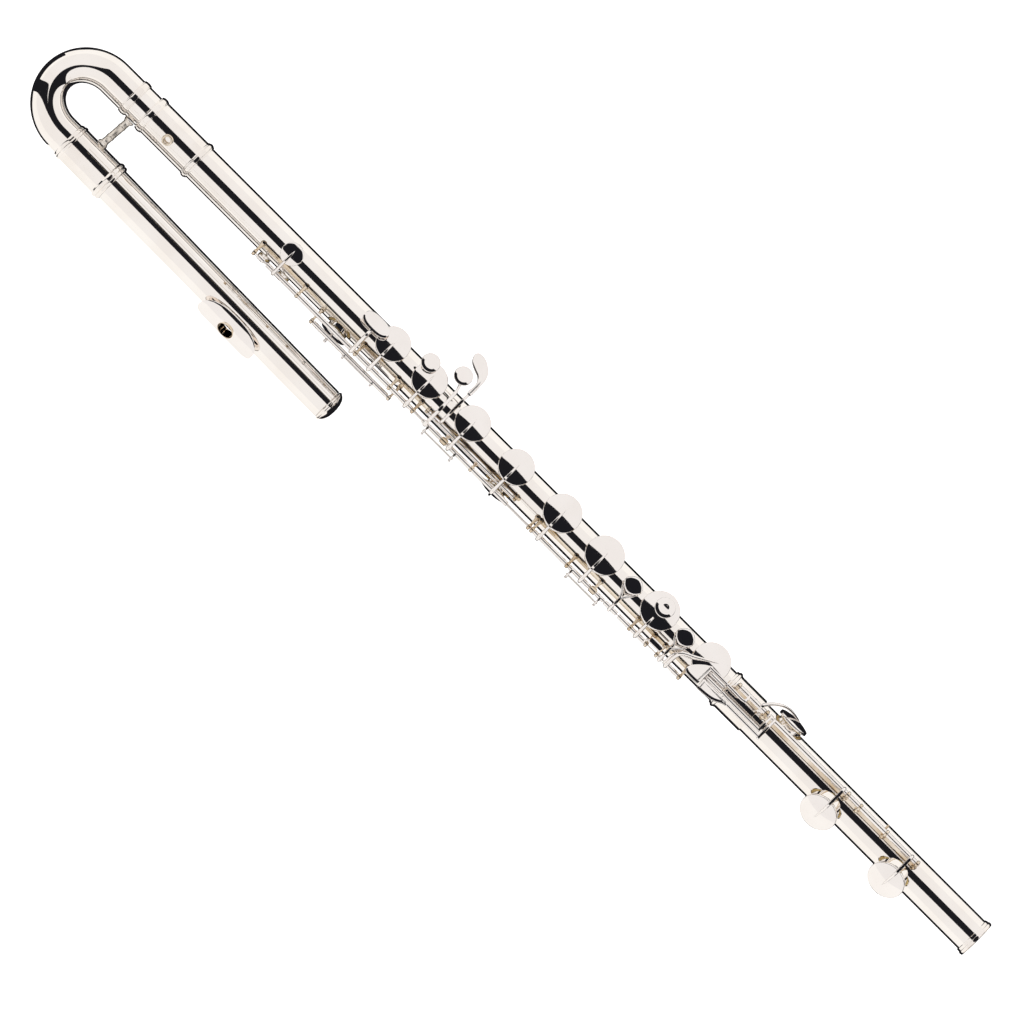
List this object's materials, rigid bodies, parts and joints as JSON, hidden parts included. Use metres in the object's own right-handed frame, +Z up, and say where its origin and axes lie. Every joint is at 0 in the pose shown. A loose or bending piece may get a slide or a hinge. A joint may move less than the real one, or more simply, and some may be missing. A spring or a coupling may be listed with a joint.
{
  "type": "bass flute",
  "caption": "Closed-hole transverse bass flute with a curved J head joint, lip plate, keyed body and a foot joint with rollers.",
  "frame": {"origin": "centre of the footprint, on the surface the flute lies on, keys up", "axes": "+X runs along the body tube from the head bend to the open foot end, +Y points away from the head leg, +Z is up"},
  "size_m": [1.003, 0.134, 0.0514],
  "materials": {
    "silver_tube": "mirror polished silver plate",
    "silver_ring": "mirror polished silver plate, turned beads",
    "silver_key": "mirror polished silver plate, fine hairline scuffs",
    "silver_post": "polished silver plate, slightly tarnished at the feet",
    "rod_steel": "ground needle steel",
    "pad_skin": "thin amber skin over felt",
    "cork": "fine grained natural cork"
  },
  "bodies": {
    "body": {"barrel": "silver_ring", "body_tube": "silver_tube", "strap_eye": "silver_post", "upper_posts": "silver_post", "lower_posts": "silver_post", "lever_steel": "rod_steel", "thumb_steel": "rod_steel"},
    "head_tenon": {"head_tenon": "silver_tube"},
    "head": {"u_bend": "silver_tube", "tenon_ring": "silver_ring", "head_socket": "silver_ring", "brace_rod": "silver_tube", "head_tube": "silver_tube", "embouchure_riser": "silver_tube", "lip_plate": "silver_tube"},
    "crown": {"crown": "silver_ring"},
    "stopper": {"stopper_cork": "cork", "stopper_plate": "silver_tube"},
    "foot": {"foot_socket": "silver_ring", "foot_tube": "silver_tube", "foot_end_ring": "silver_ring", "foot_socket_posts": "silver_post", "foot_posts": "silver_post", "foot_steel": "rod_steel"},
    "c_sharp": {"c_sharp_key": "silver_key", "c_sharp_pad": "pad_skin"},
    "b_flat": {"b_flat_key": "silver_key", "b_flat_pad": "pad_skin"},
    "a": {"a_key": "silver_key", "a_pad": "pad_skin"},
    "g": {"g_key": "silver_key", "g_upper_pad": "pad_skin", "g_lower_pad": "pad_skin"},
    "g_sharp": {"g_sharp_key": "silver_key", "g_sharp_pad": "pad_skin"},
    "f_sharp": {"f_sharp_key": "silver_key", "f_sharp_pad": "pad_skin"},
    "f": {"f_key": "silver_key", "f_pad": "pad_skin"},
    "e": {"e_key": "silver_key", "e_pad": "pad_skin"},
    "d": {"d_key": "silver_key", "d_pad": "pad_skin"},
    "d_trill": {"d_trill_key": "silver_key", "d_trill_pad": "pad_skin"},
    "d_sharp_trill": {"d_sharp_trill_key": "silver_key", "d_sharp_trill_pad": "pad_skin"},
    "thumb": {"thumb_key": "silver_key", "thumb_pad": "pad_skin"},
    "foot_d_sharp": {"foot_d_sharp_key": "silver_key", "foot_d_sharp_pad": "pad_skin"},
    "foot_c_sharp": {"foot_c_sharp_key": "silver_key", "foot_c_sharp_pad": "pad_skin"},
    "low_c": {"low_c_key": "silver_key", "low_c_pad": "pad_skin"},
    "d_sharp_roller": {"d_sharp_roller": "silver_key"},
    "low_c_roller": {"low_c_roller": "silver_key"}
  },
  "joints": [
    {"name": "head_slide", "type": "slide", "parent": "body", "child": "head_tenon", "axis": [-1, 0, 0], "range_m": [0, 0.015]},
    {"name": "head_turn", "type": "hinge", "parent": "head_tenon", "child": "head", "pos_m": [-0.424, 0.0167, 0.0178], "axis": [1, 0, 0], "range_deg": [-15, 15]},
    {"name": "foot_turn", "type": "hinge", "parent": "body", "child": "foot", "pos_m": [0.236, 0.0167, 0.0178], "axis": [1, 0, 0], "range_deg": [-4, 4]},
    {"name": "crown_turn", "type": "hinge", "parent": "head", "child": "crown", "pos_m": [-0.455, -0.043, 0.0178], "axis": [0.9999, -0.0118, 0], "range_deg": [-360, 360]},
    {"name": "stopper_slide", "type": "slide", "parent": "head", "child": "stopper", "axis": [0.9999, -0.0118, 0], "range_m": [-0.00105, 0.00105]},
    {"name": "c_sharp_pivot", "type": "hinge", "parent": "body", "child": "c_sharp", "pos_m": [-0.216, -0.0023, 0.0378], "axis": [1, 0, 0], "range_deg": [-7.5, 0], "stiffness_Nm_per_rad": 0.03, "springref_deg": 20.05},
    {"name": "b_flat_pivot", "type": "hinge", "parent": "body", "child": "b_flat", "pos_m": [-0.15, -0.0023, 0.0378], "axis": [1, 0, 0], "range_deg": [-7.5, 0], "stiffness_Nm_per_rad": 0.03, "springref_deg": 20.05},
    {"name": "a_pivot", "type": "hinge", "parent": "body", "child": "a", "pos_m": [-0.118, -0.0023, 0.0378], "axis": [1, 0, 0], "range_deg": [-7.5, 0], "stiffness_Nm_per_rad": 0.03, "springref_deg": 20.05},
    {"name": "g_pivot", "type": "hinge", "parent": "body", "child": "g", "pos_m": [-0.048, -0.0023, 0.0378], "axis": [1, 0, 0], "range_deg": [-7.5, 0], "stiffness_Nm_per_rad": 0.03, "springref_deg": 20.05},
    {"name": "f_sharp_pivot", "type": "hinge", "parent": "body", "child": "f_sharp", "pos_m": [0.047, -0.0023, 0.0378], "axis": [1, 0, 0], "range_deg": [-7.5, 0], "stiffness_Nm_per_rad": 0.03, "springref_deg": 20.05},
    {"name": "f_pivot", "type": "hinge", "parent": "body", "child": "f", "pos_m": [0.087, -0.0023, 0.0378], "axis": [1, 0, 0], "range_deg": [-7.5, 0], "stiffness_Nm_per_rad": 0.03, "springref_deg": 20.05},
    {"name": "e_pivot", "type": "hinge", "parent": "body", "child": "e", "pos_m": [0.137, -0.0023, 0.0378], "axis": [1, 0, 0], "range_deg": [-7.5, 0], "stiffness_Nm_per_rad": 0.03, "springref_deg": 20.05},
    {"name": "d_pivot", "type": "hinge", "parent": "body", "child": "d", "pos_m": [0.18, -0.0023, 0.0378], "axis": [1, 0, 0], "range_deg": [-7.5, 0], "stiffness_Nm_per_rad": 0.03, "springref_deg": 20.05},
    {"name": "g_sharp_pivot", "type": "hinge", "parent": "body", "child": "g_sharp", "pos_m": [-0.048, 0.0052, 0.033], "axis": [1, 0, 0], "range_deg": [-6, 0], "stiffness_Nm_per_rad": 0.03, "springref_deg": 20.05},
    {"name": "d_trill_pivot", "type": "hinge", "parent": "body", "child": "d_trill", "pos_m": [-0.074, -0.0023, 0.0378], "axis": [1, 0, 0], "range_deg": [-8, 0], "stiffness_Nm_per_rad": 0.03, "springref_deg": 20.05},
    {"name": "d_sharp_trill_pivot", "type": "hinge", "parent": "body", "child": "d_sharp_trill", "pos_m": [-0.045, -0.0023, 0.0378], "axis": [1, 0, 0], "range_deg": [-8, 0], "stiffness_Nm_per_rad": 0.03, "springref_deg": 20.05},
    {"name": "thumb_pivot", "type": "hinge", "parent": "body", "child": "thumb", "pos_m": [-0.168, -0.0088, 0.034], "axis": [1, 0, 0], "range_deg": [0, 5], "stiffness_Nm_per_rad": 0.03, "springref_deg": -20.05},
    {"name": "foot_d_sharp_pivot", "type": "hinge", "parent": "foot", "child": "foot_d_sharp", "pos_m": [0.243, 0.0257, 0.0439], "axis": [1, 0, 0], "range_deg": [0, 5.5], "stiffness_Nm_per_rad": 0.03, "springref_deg": -20.05},
    {"name": "foot_c_sharp_pivot", "type": "hinge", "parent": "foot", "child": "foot_c_sharp", "pos_m": [0.306, 0.0257, 0.0439], "axis": [1, 0, 0], "range_deg": [0, 7.5], "stiffness_Nm_per_rad": 0.03, "springref_deg": -20.05},
    {"name": "low_c_pivot", "type": "hinge", "parent": "foot", "child": "low_c", "pos_m": [0.344, 0.0257, 0.0439], "axis": [1, 0, 0], "range_deg": [0, 7], "stiffness_Nm_per_rad": 0.03, "springref_deg": -20.05},
    {"name": "d_sharp_roller_spin", "type": "hinge", "parent": "foot_d_sharp", "child": "d_sharp_roller", "pos_m": [0.2129, 0.017, 0.049], "axis": [1, 0, 0], "continuous": true},
    {"name": "low_c_roller_spin", "type": "hinge", "parent": "low_c", "child": "low_c_roller", "pos_m": [0.2136, 0.0128, 0.0496], "axis": [1, 0, 0], "continuous": true}
  ],
  "couplings": [
    {"joint": "b_flat_pivot", "follows": "a_pivot", "ratio": 1},
    {"joint": "f_sharp_pivot", "follows": "f_pivot", "ratio": 1},
    {"joint": "stopper_slide", "follows": "crown_turn", "m_per_rad": 0.000159}
  ]
}
